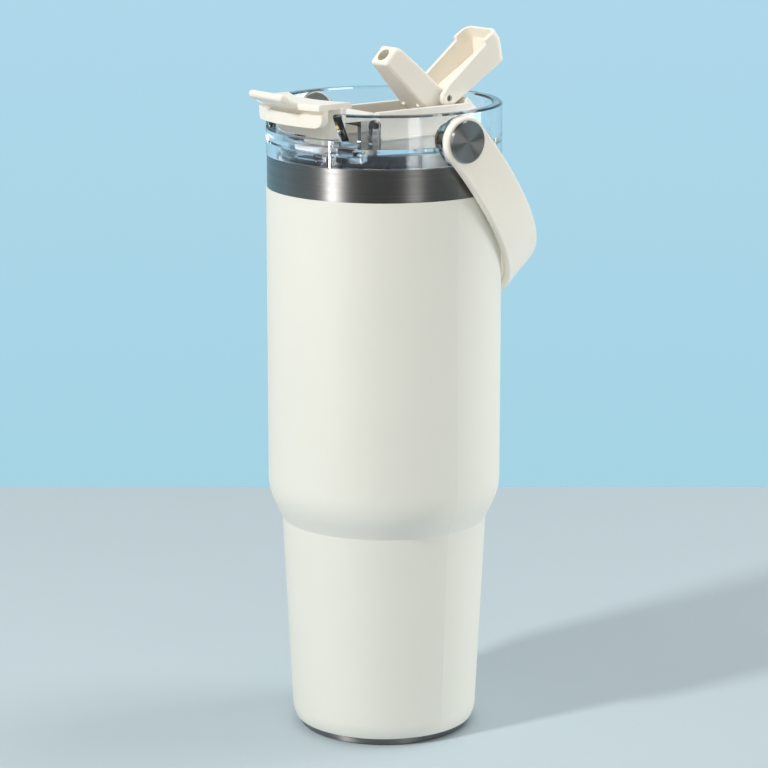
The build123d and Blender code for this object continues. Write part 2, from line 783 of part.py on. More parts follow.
with BuildPart() as nozzle:
    with BuildSketch(nozzle_side):
        with BuildLine():
            under = Polyline(
                (0, -nozzle_under),
                (nozzle_flat, -nozzle_under),
                (nozzle_length, -nozzle_tip_half_depth),
                (nozzle_length, nozzle_tip_half_depth),
            )
            crown = Spline(
                under @ 1,
                (nozzle_length - nozzle_crown / 2, nozzle_top - nozzle_crown_drop),
                (nozzle_length - nozzle_crown, nozzle_top),
                tangents=((-0.8, 0.6), (-1, 0)),
            )
            Polyline(crown @ 1, (0, nozzle_top), (0, -nozzle_under))
        make_face()
        Circle(nozzle_heel_radius)
    extrude(amount=nozzle_half_width, both=True)
    with BuildSketch(nozzle_plan):
        with BuildLine():
            Polyline(
                (-nozzle_heel_radius - 1, -nozzle_half_width),
                (nozzle_length / 3, -nozzle_half_width),
                (nozzle_length, -nozzle_tip_half_width),
                (nozzle_length, nozzle_tip_half_width),
                (nozzle_length / 3, nozzle_half_width),
                (-nozzle_heel_radius - 1, nozzle_half_width),
                close=True,
            )
        make_face()
    extrude(amount=far / 10, both=True, mode=Mode.INTERSECT)
    along_nozzle = Axis(nozzle_pivot, nozzle_along)
    tip_face = nozzle.faces().sort_by(along_nozzle)[-1]
    side_edges = [
        edge
        for edge in nozzle.edges()
        if (edge.center() - nozzle_pivot).dot(nozzle_along) > bury
        and abs(edge.center().X) > nozzle_bore
        and edge.length > nozzle_bore
    ]
    fillet(side_edges + tip_face.edges().filter_by(Axis.X), nozzle_edge)
    # trunnions that turn in the cradle
    with BuildSketch(side_plane(-trunnion_end)):
        with Locations((nozzle_pivot_y, nozzle_pivot_z)):
            Circle(trunnion_radius)
    extrude(amount=2 * trunnion_end)
    # two small nubs on the underside
    with BuildSketch(nozzle_plan.offset(-nozzle_under + bury)):
        with Locations((nub_along, -nub_side), (nub_along, nub_side)):
            Circle(nub_radius)
    extrude(amount=-nub_height - bury)
    # bore to the tip, and the port down to the straw
    with BuildSketch(nozzle_end):
        Circle(nozzle_bore)
    extrude(amount=-nozzle_length, mode=Mode.SUBTRACT)
    with BuildSketch(Plane.XY.offset(nozzle_pivot_z)):
        with Locations((0, nozzle_pivot_y)):
            Circle(nozzle_bore)
    extrude(amount=-far / 10, mode=Mode.SUBTRACT)
    # hole for the hood's pin
    with BuildSketch(nozzle_side.offset(-nozzle_half_width - 1)):
        with Locations((hood_pin_along, hood_pin_up)):
            Circle(hood_pin_radius)
    extrude(amount=2 * (nozzle_half_width + 1), mode=Mode.SUBTRACT)
nozzle.part.label = "nozzle"
export_step(nozzle.part, "parts/nozzle.step")

# =====================================================================================================
# Hood: local X runs from its pin to its end, local Y points to its open side
# =====================================================================================================

open_cos = cos(radians(hood_open_angle))
open_sin = sin(radians(hood_open_angle))
hood_pin_place = nozzle_pivot + nozzle_along * hood_pin_along + nozzle_up * hood_pin_up
hood_side = Plane(origin=hood_pin_place, x_dir=(0, open_cos, open_sin), z_dir=(1, 0, 0))

with BuildPart() as hood_pin:
    with BuildSketch(hood_side.offset(-hood_pin_half_length)):
        Circle(hood_pin_radius)
    extrude(amount=2 * hood_pin_half_length)
hood_pin.part.label = "hood_pin"
export_step(hood_pin.part, "parts/hood_pin.step")

# the channel inside the hood, open at the pin's end and along one side
with BuildPart() as hood_channel:
    with BuildSketch(hood_side):
        with BuildLine():
            Polyline(
                (-hood_length, hood_skin - hood_back),
                (hood_back_length - hood_end_wall, hood_skin - hood_back),
                (hood_length - hood_end_wall, hood_cup_depth / 2),
                (hood_length - hood_lip_step - hood_end_wall, hood_length),
                (-hood_length, hood_length),
                close=True,
            )
        make_face()
    extrude(amount=hood_inner_half_width, both=True)
    along_channel = Axis(hood_side.origin, hood_side.x_dir)
    end_edges = hood_channel.edges().filter_by(Axis.X, reverse=True).group_by(along_channel)[-1]
    fillet(end_edges, hood_corner - hood_end_wall)
    with BuildSketch(hood_side):
        add(rectangle_between(-hood_length, -hood_length, hood_web_start, 0))
    extrude(amount=hood_inner_half_width, both=True)

with BuildPart() as hood:
    with BuildSketch(hood_side):
        with BuildLine():
            Polyline(
                (0, -hood_back),
                (hood_back_length, -hood_back),
                (hood_length, hood_cup_depth / 2),
                (hood_length - hood_lip_step, hood_cup_depth),
                (hood_cup_start + hood_lip_step, hood_cup_depth),
                (hood_cup_start, hood_wall_rise_end),
                (hood_ear_radius, hood_wall_rise_start),
                (0, hood_ear_radius),
                close=True,
            )
        make_face()
        Circle(hood_ear_radius)
    extrude(amount=hood_half_width, both=True)
    along_hood = Axis(hood_side.origin, hood_side.x_dir)
    fillet(hood.edges().filter_by(Axis.X, reverse=True).sort_by(along_hood)[-4:], hood_corner)
    fillet(hood.faces().sort_by(Axis.X)[0].edges(), hood_edge)
    fillet(hood.faces().sort_by(Axis.X)[-1].edges(), hood_edge)
    add(hood_channel.part, mode=Mode.SUBTRACT)
    with BuildSketch(hood_side.offset(-hood_half_width - 1)):
        Circle(hood_pin_radius + running_gap)
    extrude(amount=2 * (hood_half_width + 1), mode=Mode.SUBTRACT)
hood.part.label = "hood"
export_step(hood.part, "parts/hood.step")

# =====================================================================================================
# Sip cover and its plug
# =====================================================================================================

# the lift tab, rounded on its own before it joins the cover
with BuildPart() as lift_tab:
    with BuildSketch(side_plane(0)):
        with BuildLine():
            under = Polyline(
                (-groove_radius, tab_root),
                (-flange_outer_radius, tab_root),
                (tab_tip + tab_nose, tab_under),
            )
            nose = ThreePointArc(
                under @ 1, (tab_tip, (tab_under + tab_top) / 2), (tab_tip + tab_crest, tab_top)
            )
            sweep = Spline(
                nose @ 1,
                (tab_tip + tab_waist, tab_top - tab_crest),
                (-groove_radius, flange_top + bury),
                tangents=(nose % 1, (1, -bury)),
            )
            Line(sweep @ 1, under @ 0)
        make_face()
    extrude(amount=tab_half_width, both=True)
    for tab_end in (0, -1):
        fillet(lift_tab.faces().sort_by(Axis.X)[tab_end].edges(), tab_round)

with BuildPart() as sip_cover:
    # curved front: flange above, skirt below, and a groove between them, with rounded lower corners
    with BuildSketch(Plane.XY.offset(flange_bottom)):
        add(ring_sector(flange_inner_radius, flange_outer_radius, cover_half_width + 1))
    extrude(amount=flange_top - flange_bottom)
    with BuildSketch(Plane.XY.offset(skirt_bottom - 1)):
        add(ring_sector(skirt_inner_radius, skirt_outer_radius, cover_half_width + 1))
    extrude(amount=skirt_top - skirt_bottom + 1)
    with BuildSketch(Plane.XY.offset(skirt_top - bury)):
        add(ring_sector(skirt_inner_radius, groove_radius, cover_half_width + 1))
    extrude(amount=flange_bottom - skirt_top + 2 * bury)
    with BuildSketch(Plane.XZ):
        with Locations((0, skirt_bottom + cover_half_width)):
            RectangleRounded(2 * cover_half_width, 2 * cover_half_width, skirt_corner)
    extrude(amount=far, both=True, mode=Mode.INTERSECT)
    front_edges = sip_cover.edges().filter_by(GeomType.CIRCLE)
    flange_rim = front_edges.group_by(Axis.Z)[-1].sort_by(SortBy.RADIUS)[-1]
    fillet(flange_rim, flange_round)
    # inner wall in the ring's opening, and the plate over the deck
    with BuildSketch(Plane.XY.offset(inner_wall_bottom)):
        add(ring_sector(inner_wall_inner_radius, inner_wall_outer_radius, cover_wall_half))
    extrude(amount=flange_bottom + bury - inner_wall_bottom)
    with BuildSketch(Plane.XY.offset(plate_bottom)):
        Circle((inner_wall_inner_radius + inner_wall_outer_radius) / 2)
        with Locations((0, plate_rear - far / 2)):
            RectangleRounded(2 * plate_half_width, far, plate_corner, mode=Mode.INTERSECT)
    extrude(amount=plate_top - plate_bottom)
    # the plate's rear top edge is cut away, because it turns down past the closed hood
    with BuildSketch(side_plane(-cover_half_width)):
        with BuildLine():
            Polyline(
                (plate_rear - plate_cut_back, plate_top),
                (plate_rear, plate_top - plate_cut_down),
                (plate_rear + 1, plate_top - plate_cut_down),
                (plate_rear + 1, plate_top + 1),
                (plate_rear - plate_cut_back, plate_top + 1),
                close=True,
            )
        make_face()
    extrude(amount=2 * cover_half_width, mode=Mode.SUBTRACT)
    add(lift_tab.part)
    # hinge knuckles
    for side in (-1, 1):
        with BuildSketch(side_plane(side * knuckle_span[0])):
            with Locations((sip_hinge_y, sip_hinge_z)):
                Circle(knuckle_radius)
            add(
                rectangle_between(
                    sip_hinge_y - knuckle_radius,
                    sip_hinge_z,
                    sip_hinge_y + knuckle_radius,
                    plate_bottom + bury,
                )
            )
            with Locations((sip_hinge_y, sip_hinge_z)):
                Circle(sip_pin_radius + running_gap, mode=Mode.SUBTRACT)
        extrude(amount=side * (knuckle_span[1] - knuckle_span[0]))
    with BuildSketch(Plane.XY.offset(stem_bottom)):
        with Locations((0, sip_hole_y)):
            RectangleRounded(2 * stem_half, 2 * stem_half_depth, stem_half_depth / 2)
    extrude(amount=plate_bottom - stem_bottom + bury)
sip_cover.part.label = "sip_cover"
export_step(sip_cover.part, "parts/sip_cover.step")

with BuildPart() as sip_plug:
    with BuildSketch(Plane.XY.offset(sip_pad_bottom)):
        with Locations((0, sip_hole_y)):
            SlotOverall(2 * sip_pad_half, 2 * sip_pad_half_depth)
    extrude(amount=stem_bottom - sip_pad_bottom)
    fillet(sip_plug.faces().sort_by(Axis.Z)[0].edges(), pad_edge)
sip_plug.part.label = "sip_plug"
export_step(sip_plug.part, "parts/sip_plug.step")
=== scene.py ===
"""Insulated water bottle: finishes, finer pieces, stage, light and camera, all in metres."""

import math

import bmesh
import bpy
from bpy.props import FloatProperty, FloatVectorProperty, IntProperty, PointerProperty
from mathutils import Matrix, Vector


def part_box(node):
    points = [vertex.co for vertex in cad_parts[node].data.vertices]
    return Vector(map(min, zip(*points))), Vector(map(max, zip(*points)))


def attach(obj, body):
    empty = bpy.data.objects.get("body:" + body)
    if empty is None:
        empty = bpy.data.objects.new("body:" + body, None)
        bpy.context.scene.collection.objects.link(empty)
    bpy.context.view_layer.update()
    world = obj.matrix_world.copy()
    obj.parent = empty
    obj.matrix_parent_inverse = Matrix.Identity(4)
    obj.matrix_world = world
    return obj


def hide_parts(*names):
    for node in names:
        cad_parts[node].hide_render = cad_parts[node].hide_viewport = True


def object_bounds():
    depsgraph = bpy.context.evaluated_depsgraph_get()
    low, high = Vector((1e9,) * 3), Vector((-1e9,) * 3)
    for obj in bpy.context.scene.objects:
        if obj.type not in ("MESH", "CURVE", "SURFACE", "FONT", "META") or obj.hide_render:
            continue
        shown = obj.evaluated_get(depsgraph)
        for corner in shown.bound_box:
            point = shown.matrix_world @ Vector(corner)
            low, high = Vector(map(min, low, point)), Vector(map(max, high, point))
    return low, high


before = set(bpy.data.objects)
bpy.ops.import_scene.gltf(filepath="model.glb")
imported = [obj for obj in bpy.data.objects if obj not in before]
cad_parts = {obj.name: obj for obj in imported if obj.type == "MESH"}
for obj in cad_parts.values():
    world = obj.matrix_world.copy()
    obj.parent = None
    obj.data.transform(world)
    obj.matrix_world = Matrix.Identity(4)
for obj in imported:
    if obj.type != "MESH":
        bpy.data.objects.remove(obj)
cad_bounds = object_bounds()

bl_info = {
    "name": "Insulated Bottle",
    "version": (1, 0, 0),
    "blender": (4, 5, 0),
    "location": "3D View > Sidebar > Bottle",
    "description": "Builds an insulated water bottle with a clear lid, a folding spout and a swing handle",
    "category": "Add Mesh",
}

low_cap, high_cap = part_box("handle_caps")

NOISE_LOW = 0.3
NOISE_HIGH = 0.7
CAP_SHARP_ANGLE = 20.0  # degrees between faces, above which an edge of a cap stays sharp
CAP_DISH_RING = 0.5  # where the ring inside the dish lies, as a share of the cap's radius
CAP_FLAT_EDGE = 1.8  # width of the bevel and the flat rim together, in bevels
BOUNCE_TURN = 0.52  # radians from the camera to the broad strip
BOUNCE_BREADTH = 6.0  # width of the broad strip, in usual strip widths
BOUNCE_SHARE = 0.35  # power of the broad strip, as a share of the narrow one's
SKY_LOW = -0.26  # upward part of the look direction where the backdrop starts to change colour
SKY_HIGH = -0.08
ROOM_START = -0.35  # how far a direction points to the camera's side where the room starts to show
ROOM_FULL = 0.3
NEAR_CLIP = 0.01


def linear(red, green, blue):
    """A display colour from 0 to 255 as linear light."""
    shares = (red / 255, green / 255, blue / 255)
    return tuple(c / 12.92 if c <= 0.04045 else ((c + 0.055) / 1.055) ** 2.4 for c in shares)


# =====================================================================================================
# Shader maths
# =====================================================================================================


class Flow:
    """A number or vector socket that adds Math nodes when it stands in an expression."""

    def __init__(self, finish, socket):
        self.finish = finish
        self.socket = socket

    def maths(self, operation, first, second):
        return self.finish.node("ShaderNodeMath", {"operation": operation}, {0: first, 1: second})

    def __add__(self, other):
        return self.maths("ADD", self, other)

    def __radd__(self, other):
        return self.maths("ADD", other, self)

    def __mul__(self, other):
        return self.maths("MULTIPLY", self, other)

    def __rmul__(self, other):
        return self.maths("MULTIPLY", other, self)


class Finish:
    """A material while its nodes are being made."""

    def __init__(self, name):
        self.material = bpy.data.materials.new(name)
        self.material.use_nodes = True
        self.start(self.material.node_tree)

    @classmethod
    def of_tree(cls, tree):
        """A finish that works on a node tree which isn't a material's, such as the world's."""
        made = cls.__new__(cls)
        made.start(tree)
        return made

    def start(self, tree):
        self.tree = tree
        self.tree.nodes.clear()

    def node(self, kind, settings=None, sockets=None, output=0):
        """Adds a node: its settings come first, then its sockets' values and links."""
        made = self.tree.nodes.new(kind)
        for name, value in (settings or {}).items():
            setattr(made, name, value)
        for name, value in (sockets or {}).items():
            if isinstance(value, Flow):
                self.tree.links.new(value.socket, made.inputs[name])
            else:
                made.inputs[name].default_value = value
        return Flow(self, made.outputs[output]) if made.outputs else None

    def place(self):
        """The point on the piece in its own coordinates, which move with it."""
        return self.node("ShaderNodeTexCoord", output="Object")

    def stretched(self, scale):
        """The point on the piece, scaled by a different amount along each axis."""
        return self.node("ShaderNodeVectorMath", {"operation": "MULTIPLY"}, {0: self.place(), 1: scale})

    def noise(self, scale, detail=4.0, roughness=0.55, at=None):
        """Fractal noise from 0 to 1 over the piece."""
        return self.node(
            "ShaderNodeTexNoise",
            {"noise_dimensions": "3D"},
            {"Vector": at or self.place(), "Scale": scale, "Detail": detail, "Roughness": roughness},
            output="Fac",
        )

    def specks(self, scale, density):
        """A few small round dots from 0 to 1, where density is the share of cells that hold one."""
        cells = self.node(
            "ShaderNodeTexVoronoi",
            {"feature": "F1"},
            {"Vector": self.place(), "Scale": scale},
            output="Distance",
        )
        return self.node(
            "ShaderNodeMapRange",
            {"clamp": True},
            {"Value": cells, "From Min": density, "From Max": 0.0, "To Min": 0.0, "To Max": 1.0},
        )

    def between(self, amount, low, high):
        """Moves from low to high as amount crosses the range that noise spends most time in."""
        return self.node(
            "ShaderNodeMapRange",
            {"clamp": True},
            {"Value": amount, "From Min": NOISE_LOW, "From Max": NOISE_HIGH, "To Min": low, "To Max": high},
        )

    def blend(self, amount, first, second):
        """Mixes two colours."""
        return self.node(
            "ShaderNodeMix",
            {"data_type": "RGBA", "blend_type": "MIX"},
            {0: amount, 6: first, 7: second},
            output=2,
        )

    def bump(self, height, distance, strength, under=None):
        """A Normal made from a height from 0 to 1 that stands for the distance in metres."""
        sockets = {"Height": height, "Distance": distance, "Strength": strength}
        if under is not None:
            sockets["Normal"] = under
        return self.node("ShaderNodeBump", None, sockets)

    def surface(self, sockets):
        """Ends the material in a Principled shader."""
        shader = self.node("ShaderNodeBsdfPrincipled", None, sockets)
        self.node("ShaderNodeOutputMaterial", None, {"Surface": shader})
        return self.material

    def clear_surface(self, sockets, shade):
        """Ends the material in a clear shader that lets most light through its own shadow."""
        shader = self.node("ShaderNodeBsdfPrincipled", None, sockets)
        passing = self.node("ShaderNodeBsdfTransparent", None, {"Color": shade})
        shadow = self.node("ShaderNodeLightPath", output="Is Shadow Ray")
        mixed = self.node("ShaderNodeMixShader", None, {0: shadow, 1: shader, 2: passing})
        self.node("ShaderNodeOutputMaterial", None, {"Surface": mixed})
        return self.material


def shade_of(colour, factor):
    """A colour made lighter or darker by a factor, with full alpha."""
    return tuple(min(channel * factor, 1.0) for channel in colour[:3]) + (1.0,)


# =====================================================================================================
# Finishes
# =====================================================================================================


def powder_finish(look):
    """Matt powder coat: fine orange-peel grain with faint drifts of colour and a few dark specks."""
    f = Finish("powder_coat_finish")
    drift = f.between(f.noise(scale=18.0, detail=3.0), low=0.0, high=1.0)
    grain = f.noise(scale=2600.0, detail=2.0, roughness=0.6)
    peel = f.noise(scale=900.0, detail=2.0, roughness=0.5)
    base = f.blend(drift, shade_of(look.coat, factor=0.975), shade_of(look.coat, factor=1.0))
    dots = f.specks(scale=240.0, density=0.045)
    colour = f.blend(dots * 0.35, base, shade_of(look.coat, factor=0.6))
    rough = f.between(f.noise(scale=60.0, detail=4.0), low=0.44, high=0.52)
    normal = f.bump(grain * 0.5 + peel * 0.5, distance=0.000035, strength=0.55)
    return f.surface(
        {
            "Base Color": colour,
            "Roughness": rough,
            "Normal": normal,
            "Specular IOR Level": 0.42,
            "Sheen Weight": 0.06,
            "Sheen Roughness": 0.5,
        }
    )


def brushed_finish(look):
    """Steel brushed round the bottle's axis."""
    f = Finish("brushed_steel_finish")
    lines = f.noise(scale=1.0, detail=5.0, roughness=0.7, at=f.stretched((22.0, 22.0, 7000.0)))
    bands = f.noise(scale=1.0, detail=3.0, roughness=0.5, at=f.stretched((4.0, 4.0, 900.0)))
    smudge = f.noise(scale=75.0, detail=4.0, roughness=0.6)
    groove = f.between(lines, low=0.0, high=1.0)
    colour = f.blend(groove, shade_of(look.steel, factor=0.78), shade_of(look.steel, factor=1.08))
    rough = f.between(bands, low=0.42, high=0.5) + f.between(smudge, low=-0.03, high=0.04)
    normal = f.bump(lines, distance=0.000003, strength=0.5)
    return f.surface(
        {
            "Base Color": colour,
            "Metallic": 1.0,
            "Roughness": rough,
            "Normal": normal,
            "Anisotropic": 0.97,
            "Anisotropic Rotation": 0.25,
        }
    )


def turned_finish(look):
    """Steel turned on a lathe, for the round caps: fine rings about the cap's own axis."""
    f = Finish("turned_steel_finish")
    spread = f.node("ShaderNodeSeparateXYZ", None, {0: f.place()}, output="X")
    across = f.node("ShaderNodeSeparateXYZ", None, {0: f.place()}, output="Y")
    radius = f.node("ShaderNodeMath", {"operation": "SQRT"}, {0: spread * spread + across * across})
    ring_place = f.node("ShaderNodeCombineXYZ", None, {"X": radius * 9000.0})
    rings = f.noise(scale=1.0, detail=4.0, roughness=0.7, at=ring_place)
    groove = f.between(rings, low=0.0, high=1.0)
    colour = f.blend(groove, shade_of(look.steel, factor=0.95), shade_of(look.steel, factor=1.35))
    rough = f.between(f.noise(scale=500.0, detail=3.0), low=0.34, high=0.4)
    return f.surface(
        {
            "Base Color": colour,
            "Metallic": 1.0,
            "Roughness": rough,
            "Normal": f.bump(rings, distance=0.000002, strength=0.5),
            "Anisotropic": 0.98,
            "Anisotropic Rotation": 0.25,
        }
    )


def plain_steel_finish(look, name, roughness, factor):
    """Steel with a rolled or polished surface and faint smudges."""
    f = Finish(name)
    smudge = f.noise(scale=90.0, detail=5.0, roughness=0.65)
    fine = f.noise(scale=2200.0, detail=3.0, roughness=0.6)
    patches = f.between(smudge, low=0.0, high=1.0)
    colour = f.blend(patches, shade_of(look.steel, 0.86 * factor), shade_of(look.steel, factor))
    rough = f.between(smudge, roughness - 0.04, roughness + 0.06)
    normal = f.bump(fine, distance=0.000008, strength=0.4)
    return f.surface({"Base Color": colour, "Metallic": 1.0, "Roughness": rough, "Normal": normal})


def plastic_finish(look, name, factor):
    """Satin moulded plastic with a very fine spark-eroded texture."""
    f = Finish(name)
    drift = f.between(f.noise(scale=40.0, detail=4.0), low=0.0, high=1.0)
    texture = f.noise(scale=4200.0, detail=2.0, roughness=0.6)
    flow = f.noise(scale=260.0, detail=2.0)
    colour = f.blend(drift, shade_of(look.plastic, 0.965 * factor), shade_of(look.plastic, factor))
    rough = f.between(f.noise(scale=120.0, detail=4.0), low=0.36, high=0.46)
    waves = f.bump(flow, distance=0.00002, strength=0.35)
    normal = f.bump(texture, distance=0.000012, strength=0.5, under=waves)
    return f.surface(
        {
            "Base Color": colour,
            "Roughness": rough,
            "Normal": normal,
            "Specular IOR Level": 0.5,
            "Subsurface Weight": 0.12,
            "Subsurface Scale": 0.0022,
            "Subsurface Radius": (1.0, 0.72, 0.5),
        }
    )


def silicone_finish(look, name, colour):
    """Soft moulded silicone: matt, faintly mottled, slightly translucent."""
    f = Finish(name)
    drift = f.between(f.noise(scale=70.0, detail=4.0), low=0.0, high=1.0)
    mixed = f.blend(drift, shade_of(colour, factor=0.93), shade_of(colour, factor=1.0))
    rough = f.between(f.noise(scale=300.0, detail=3.0), low=0.5, high=0.62)
    return f.surface(
        {
            "Base Color": mixed,
            "Roughness": rough,
            "Normal": f.bump(f.noise(scale=1500.0, detail=2.0), distance=0.00002, strength=0.4),
            "Subsurface Weight": 0.2,
            "Subsurface Scale": 0.002,
        }
    )


def clear_finish(look, name, roughness):
    """Clear moulded plastic with soft flow marks and light handling haze."""
    f = Finish(name)
    flow = f.noise(scale=38.0, detail=3.0)
    haze = f.noise(scale=140.0, detail=4.0, roughness=0.6)
    drift = f.between(flow, low=0.0, high=1.0)
    colour = f.blend(drift, shade_of(look.clear, factor=0.985), shade_of(look.clear, factor=1.0))
    rough = f.between(haze, roughness, roughness * 2.2)
    return f.clear_surface(
        {
            "Base Color": colour,
            "Roughness": rough,
            "Normal": f.bump(flow, distance=0.00012, strength=0.25),
            "IOR": 1.5,
            "Transmission Weight": 1.0,
            "Specular IOR Level": 0.6,
        },
        shade_of(look.clear_shade, factor=1.0),
    )


def soft_metal_finish(name, colour, roughness):
    """Brass, solder and the getter's grey metal: dull, with patches of tarnish."""
    f = Finish(name)
    tarnish = f.noise(scale=600.0, detail=5.0, roughness=0.65)
    patches = f.between(tarnish, low=0.0, high=1.0)
    mixed = f.blend(patches, shade_of(colour, factor=0.7), shade_of(colour, factor=1.0))
    rough = f.between(tarnish, roughness + 0.12, roughness - 0.04)
    return f.surface(
        {
            "Base Color": mixed,
            "Metallic": 1.0,
            "Roughness": rough,
            "Normal": f.bump(f.noise(scale=1800.0, detail=3.0), distance=0.00002, strength=0.5),
        }
    )


# =====================================================================================================
# Meshes
# =====================================================================================================


def add_piece(name, mesh, body, material, place, sharp_angle):
    """Puts a mesh into the scene as a piece that rides on a CAD body."""
    made = bpy.data.objects.new(name, mesh)
    bpy.context.scene.collection.objects.link(made)
    made.matrix_world = place
    mesh.materials.append(material)
    for face in mesh.polygons:
        face.use_smooth = True
    mesh.set_sharp_from_angle(angle=math.radians(sharp_angle))
    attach(made, body)
    return made


def turned_disc(name, outline, segments):
    """A closed solid turned about Z from (radius, height) points that start and end on the axis."""
    mesh = bpy.data.meshes.new(name)
    points = [(0.0, 0.0, outline[0][1])]
    for radius, height in outline[1:-1]:
        for step in range(segments):
            turn = math.tau * step / segments
            points.append((radius * math.cos(turn), radius * math.sin(turn), height))
    points.append((0.0, 0.0, outline[-1][1]))
    faces = []
    last_ring = 1 + (len(outline) - 3) * segments
    for step in range(segments):
        ahead = (step + 1) % segments
        faces.append((0, 1 + step, 1 + ahead))
        faces.append((len(points) - 1, last_ring + ahead, last_ring + step))
        for ring in range(len(outline) - 3):
            near = 1 + ring * segments
            beyond = near + segments
            faces.append((near + step, beyond + step, beyond + ahead, near + ahead))
    mesh.from_pydata(points, [], faces)
    work = bmesh.new()
    work.from_mesh(mesh)
    bmesh.ops.recalc_face_normals(work, faces=work.faces)
    work.to_mesh(mesh)
    work.free()
    return mesh


def set_material(node, material):
    """Gives a CAD node one material in all its slots."""
    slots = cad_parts[node].data.materials
    if not slots:
        slots.append(material)
    for index in range(len(slots)):
        slots[index] = material


# =====================================================================================================
# Sizes and colours
# =====================================================================================================


def colour(name, description, default):
    """A colour property."""
    return FloatVectorProperty(
        name=name, description=description, default=default, subtype="COLOR", size=3, min=0.0, max=1.0
    )


def length(name, description, default):
    """A length property."""
    return FloatProperty(name=name, description=description, default=default, unit="LENGTH", precision=5)


def angle(name, description, default):
    """An angle property whose default is given in degrees."""
    return FloatProperty(
        name=name, description=description, default=math.radians(default), unit="ROTATION"
    )


def power(name, description, default):
    """A light's power in watts."""
    return FloatProperty(name=name, description=description, default=default, unit="POWER")


class BottleLook(bpy.types.PropertyGroup):
    """Colours of the bottle's materials."""

    coat: colour("Coat", "Powder coat on the outside", linear(238, 237, 227))
    steel: colour("Steel", "Bare stainless steel", linear(146, 144, 141))
    plastic: colour("Plastic", "Opaque moulded plastic", linear(248, 242, 230))
    seal: colour("Seal", "Silicone seals and gasket", linear(236, 234, 228))
    clear: colour("Clear", "Clear lid plastic", linear(250, 252, 254))
    clear_shade: colour("Clear shade", "Light left behind the clear plastic", linear(225, 231, 236))
    brass: colour("Brass", "Threaded inserts", linear(205, 170, 105))
    solder: colour("Solder", "Seal of the vacuum port", linear(160, 160, 158))
    getter: colour("Getter", "Getter capsule", linear(120, 121, 124))


class CapSizes(bpy.types.PropertyGroup):
    """Sizes of the round steel caps on the handle's pivots."""

    radius: length("Radius", "Radius of a cap", (high_cap.y - low_cap.y) / 2)
    face: length("Face", "Distance from the middle of the bottle to a cap's face", high_cap.x)
    thickness: length("Thickness", "Thickness of a cap", 0.0014)
    chamfer: length("Chamfer", "Width of the bevel round a cap", 0.0004)
    dish: length("Dish", "How far the middle of the face is sunk", 0.00004)
    segments: IntProperty(name="Segments", description="Steps round a cap", default=192, min=32)


class StageLook(bpy.types.PropertyGroup):
    """Floor, backdrop and lights."""

    floor: colour("Floor", "Colour of the floor", linear(192, 207, 214))
    backdrop_low: colour("Backdrop low", "Backdrop colour just above the floor", linear(165, 212, 229))
    backdrop_high: colour("Backdrop high", "Backdrop colour at the top", linear(175, 216, 235))
    ambient: colour("Ambient", "Soft light from all round", linear(196, 193, 188))
    room: colour("Room", "The dark room behind the camera, as polished metal shows it", linear(92, 90, 87))
    glow: colour("Glow", "The same room as seen through clear plastic", linear(176, 184, 192))
    floor_depth: length("Floor depth", "From the bottle to the floor's edge", 0.364)
    floor_width: length("Floor width", "Half the floor's width", 3.0)
    key_size: length("Key size", "Side of the main light", 0.13)
    key_height: length("Key height", "Height of the main light", 1.1)
    key_distance: length("Key distance", "From the bottle to the main light, along the floor", 1.2)
    key_turn: angle("Key turn", "Direction of the main light", -1.0)
    key_power: power("Key power", "Main light", 13.0)
    side_size: length("Side size", "Side of the broad light on the right", 0.8)
    side_height: length("Side height", "Height of the broad light on the right", 0.35)
    side_distance: length("Side distance", "From the bottle to the broad light, along the floor", 1.4)
    side_turn: angle("Side turn", "Direction of the broad light", 150.0)
    side_power: power("Side power", "Broad light on the right", 9.5)
    strip_width: length("Strip width", "Width of the tall lights that show in the steel", 0.045)
    strip_tall: length("Strip height", "Height of the tall lights", 0.9)
    strip_power: power("Strip power", "Tall lights", 7.0)
    top_size: length("Top size", "Side of the light overhead", 0.35)
    top_height: length("Top height", "Height of the light overhead", 1.5)
    top_distance: length("Top distance", "From the bottle to the light overhead, along the floor", 0.55)
    top_turn: angle("Top turn", "Direction of the light overhead", 160.0)
    top_power: power("Top power", "Light overhead", 3.2)


class ViewPlace(bpy.types.PropertyGroup):
    """Where the camera stands."""

    azimuth: angle("Azimuth", "Turn round the bottle from the -Y side", 52.0)
    pitch: angle("Pitch", "How far the camera looks down", 12.93)
    distance: length("Distance", "From the bottle's axis, along the floor", 1.155)
    height: length("Height", "Height above the floor", 0.4042)
    lens: FloatProperty(name="Lens", description="Focal length in millimetres", default=140.1, min=1.0)


# =====================================================================================================
# Operators
# =====================================================================================================


class BOTTLE_OT_body(bpy.types.Operator):
    """Finish the coated steel body and its welded base"""

    bl_idname = "bottle.body"
    bl_label = "Body"

    def execute(self, context):
        look = context.scene.bottle_look
        set_material("powder_coat", powder_finish(look))
        set_material("outer_shell", brushed_finish(look))
        set_material("inner_liner", plain_steel_finish(look, "inner_steel_finish", 0.24, 1.0))
        base = plain_steel_finish(look, "base_steel_finish", 0.34, 0.9)
        set_material("outer_bottom", base)
        set_material("base_disc", base)
        set_material("vacuum_seal_bead", soft_metal_finish("solder_finish", look.solder, 0.38))
        set_material("getter_capsule", soft_metal_finish("getter_finish", look.getter, 0.5))
        return {"FINISHED"}


class BOTTLE_OT_lid(bpy.types.Operator):
    """Finish the clear lid and the rings that seal it"""

    bl_idname = "bottle.lid"
    bl_label = "Lid"

    def execute(self, context):
        look = context.scene.bottle_look
        set_material("lid_shell", clear_finish(look, "clear_lid_finish", 0.03))
        set_material("lid_seal_ring", silicone_finish(look, "seal_finish", look.seal))
        set_material("vent_valve", silicone_finish(look, "valve_finish", look.seal))
        return {"FINISHED"}


